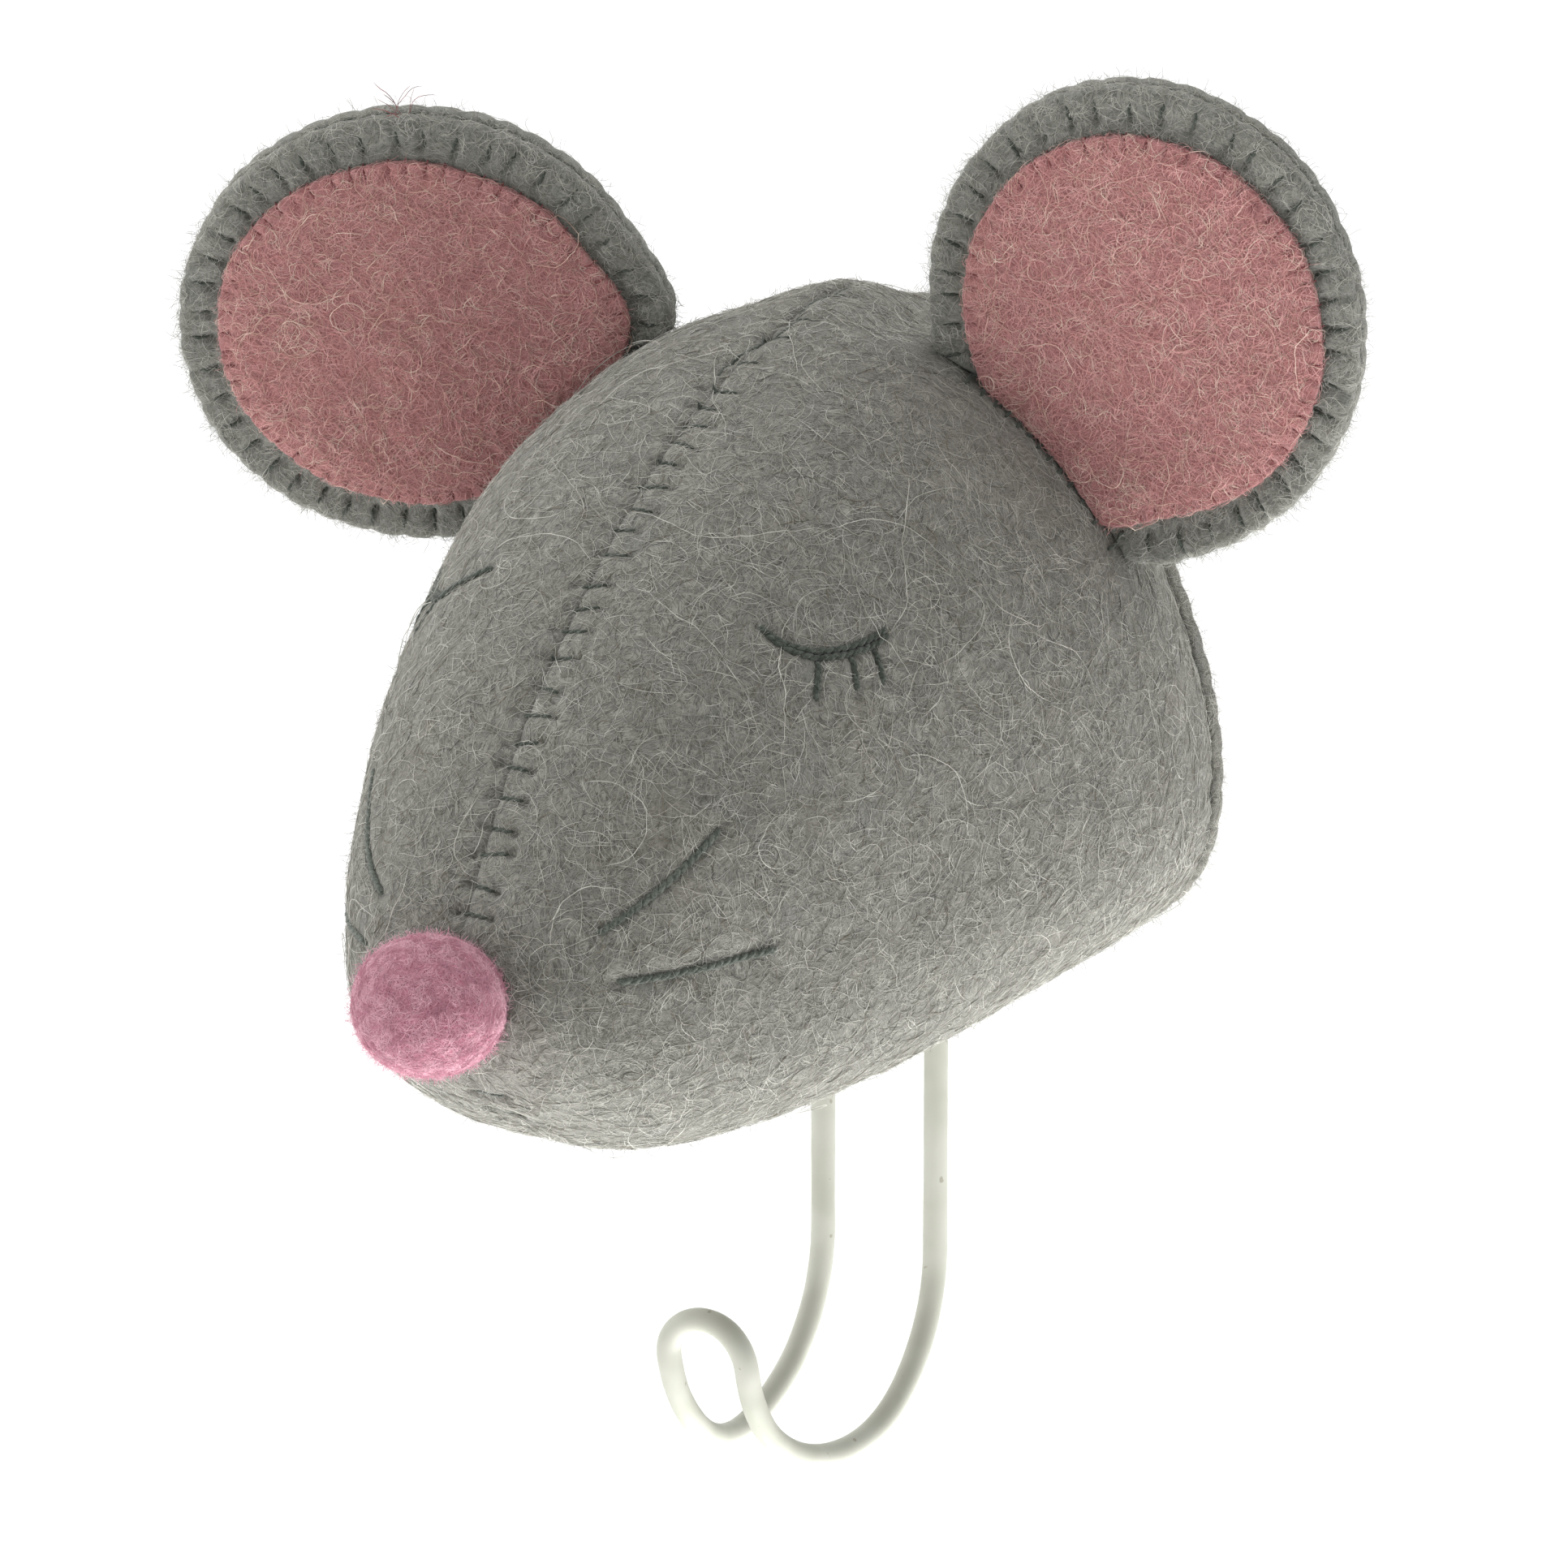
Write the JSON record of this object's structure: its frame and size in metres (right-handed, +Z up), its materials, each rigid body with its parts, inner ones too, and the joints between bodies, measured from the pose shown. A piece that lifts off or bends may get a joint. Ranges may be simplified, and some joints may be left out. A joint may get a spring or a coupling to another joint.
{
  "type": "felt mouse head coat hook",
  "caption": "Stuffed felt mouse head with round stitched ears and a ball nose, on a wooden backboard, with a bent wire double hook below.",
  "frame": {"origin": "middle of the felt face that rests on the wall, on the line of the head's seams", "axes": "+Z up, +Y into the wall, so the muzzle points along -Y; +X is the mouse's own left"},
  "size_m": [0.146, 0.1177, 0.1758],
  "materials": {
    "grey_felt": "fuzzy wool felt with pale and dark fibres",
    "pink_felt": "fuzzy wool felt with pale fibres",
    "nose_wool": "dense felted wool ball",
    "dark_thread": "twisted embroidery cotton",
    "pink_thread": "fine sewing thread",
    "coated_wire": "off-white coating on steel wire",
    "plywood": "sanded plywood",
    "plated_steel": "zinc plated",
    "wadding": "loose polyester wadding"
  },
  "bodies": {
    "head": {"head_panel_left": "grey_felt", "head_panel_right": "grey_felt", "head_stuffing": "wadding", "nose_ball": "nose_wool", "backboard": "plywood", "back_cover": "grey_felt", "hanger_plate": "plated_steel", "hanger_screw_1": "plated_steel", "hanger_screw_2": "plated_steel", "wire_hook": "coated_wire", "wire_clip_1": "plated_steel", "wire_clip_2": "plated_steel", "clip_screw_1": "plated_steel", "clip_screw_2": "plated_steel", "clip_screw_3": "plated_steel", "clip_screw_4": "plated_steel", "top_seam_thread": "dark_thread", "chin_seam_thread": "dark_thread", "back_edge_thread": "dark_thread", "eye_thread_left": "dark_thread", "eye_thread_right": "dark_thread", "whisker_left_upper": "dark_thread", "whisker_left_lower": "dark_thread", "whisker_right_upper": "dark_thread", "whisker_right_lower": "dark_thread", "ear_left_base_thread": "dark_thread", "ear_right_base_thread": "dark_thread"},
    "ear_left": {"ear_left_front": "grey_felt", "ear_left_back": "grey_felt", "ear_left_inner": "pink_felt", "ear_left_rim_thread": "dark_thread", "ear_left_inner_thread": "pink_thread"},
    "ear_right": {"ear_right_front": "grey_felt", "ear_right_back": "grey_felt", "ear_right_inner": "pink_felt", "ear_right_rim_thread": "dark_thread", "ear_right_inner_thread": "pink_thread"}
  },
  "joints": [
    {"name": "ear_left_bend", "type": "hinge", "parent": "head", "child": "ear_left", "pos_m": [0.02678, -0.01769, 0.02476], "axis": [0.7545, 0.2395, -0.6111], "range_deg": [-12, 12], "stiffness_Nm_per_rad": 0.25},
    {"name": "ear_right_bend", "type": "hinge", "parent": "head", "child": "ear_right", "pos_m": [-0.03251, -0.02731, 0.02264], "axis": [0.5897, 0.0368, 0.8068], "range_deg": [-12, 12], "stiffness_Nm_per_rad": 0.25}
  ]
}
